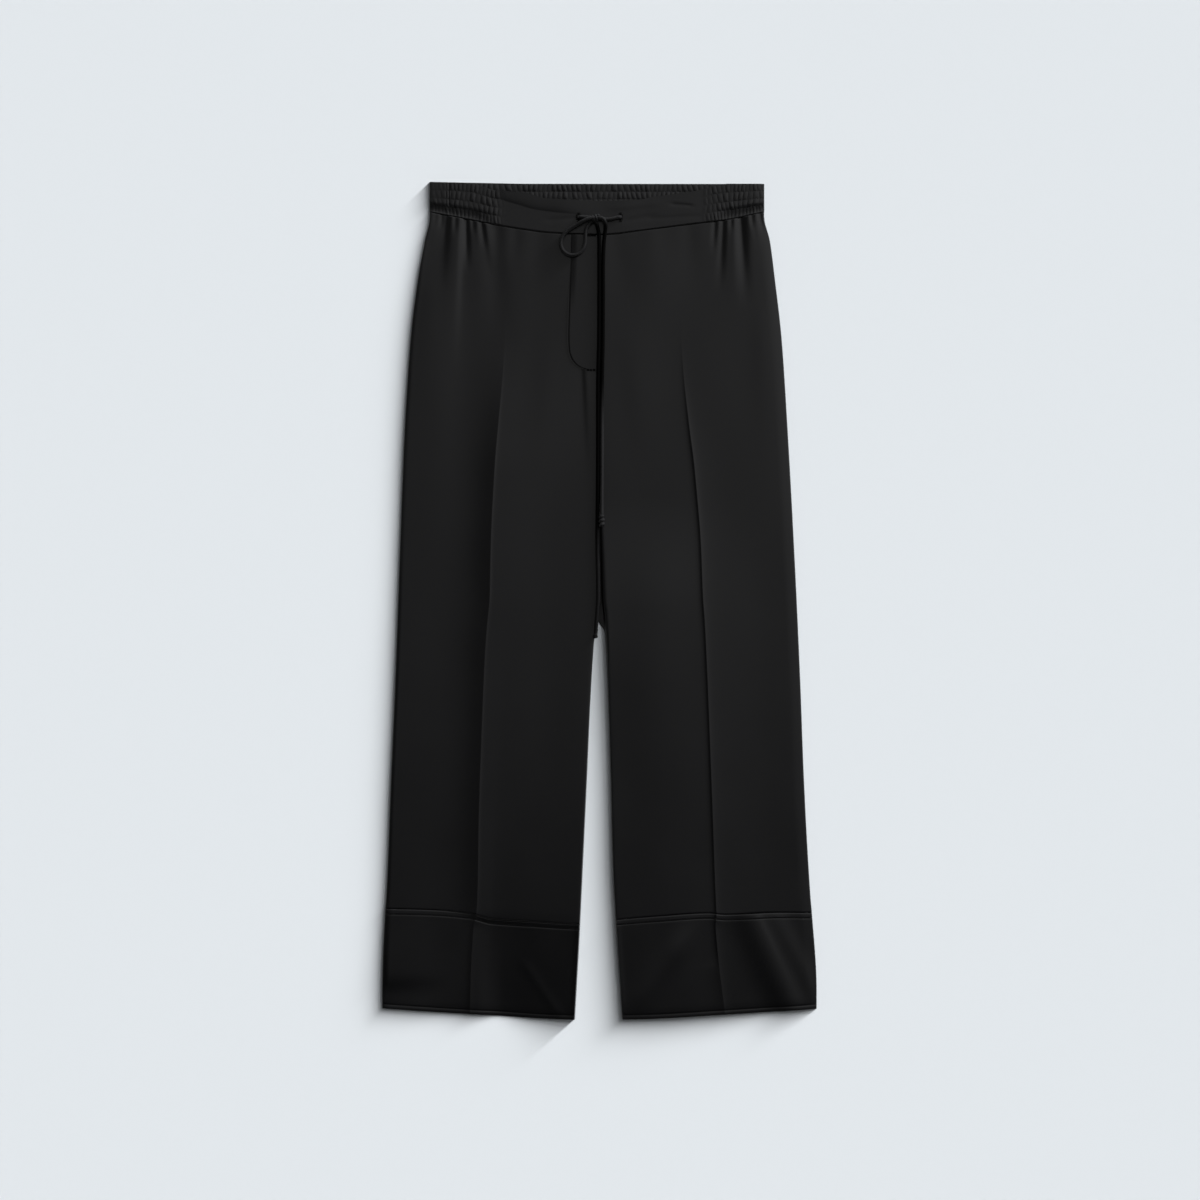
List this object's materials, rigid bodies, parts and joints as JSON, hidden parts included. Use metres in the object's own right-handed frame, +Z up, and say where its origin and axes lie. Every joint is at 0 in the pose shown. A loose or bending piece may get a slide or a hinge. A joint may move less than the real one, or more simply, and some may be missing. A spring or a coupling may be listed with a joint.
{
  "type": "drawstring trousers",
  "caption": "Wide straight trousers laid flat: elasticated back waist, drawstring bow, mock fly, pressed creases and deep hem bands.",
  "frame": {"origin": "on the surface the trousers lie on, under the middle of their outline", "axes": "+Y towards the waist, +Z up out of the front of the trousers, +X towards the wearer's left leg"},
  "size_m": [0.5047, 0.9715, 0.0141],
  "materials": {
    "satin_front": "black woven satin, face side, soft sheen",
    "satin_back": "black woven satin, face side, lying on the surface",
    "satin_waistband": "black woven satin over elastic or interfacing",
    "satin_inside": "black woven satin, gathered inside of the back waistband",
    "satin_hem": "black woven satin, doubled hem band",
    "satin_piping": "black woven satin, flat piping",
    "satin_cord": "black satin rouleau cord"
  },
  "bodies": {
    "root": {"front_right": "satin_front", "back_right": "satin_back", "hem_piping_front_right": "satin_piping", "hem_band_front_right": "satin_hem", "hem_piping_back_right": "satin_piping", "hem_band_back_right": "satin_hem", "front_left": "satin_front", "back_left": "satin_back", "hem_piping_front_left": "satin_piping", "hem_band_front_left": "satin_hem", "hem_piping_back_left": "satin_piping", "hem_band_back_left": "satin_hem", "fly": "satin_front", "waistband_front": "satin_waistband", "waistband_side_right": "satin_waistband", "waistband_side_left": "satin_waistband", "waistband_back": "satin_inside", "drawstring_lead_right": "satin_cord", "drawstring_lead_left": "satin_cord", "drawstring_loop": "satin_cord", "drawstring_strand_long": "satin_cord", "drawstring_strand_short": "satin_cord", "drawstring_knot": "satin_cord", "end_knot_short": "satin_cord", "end_knot_long": "satin_cord"}
  },
  "joints": []
}
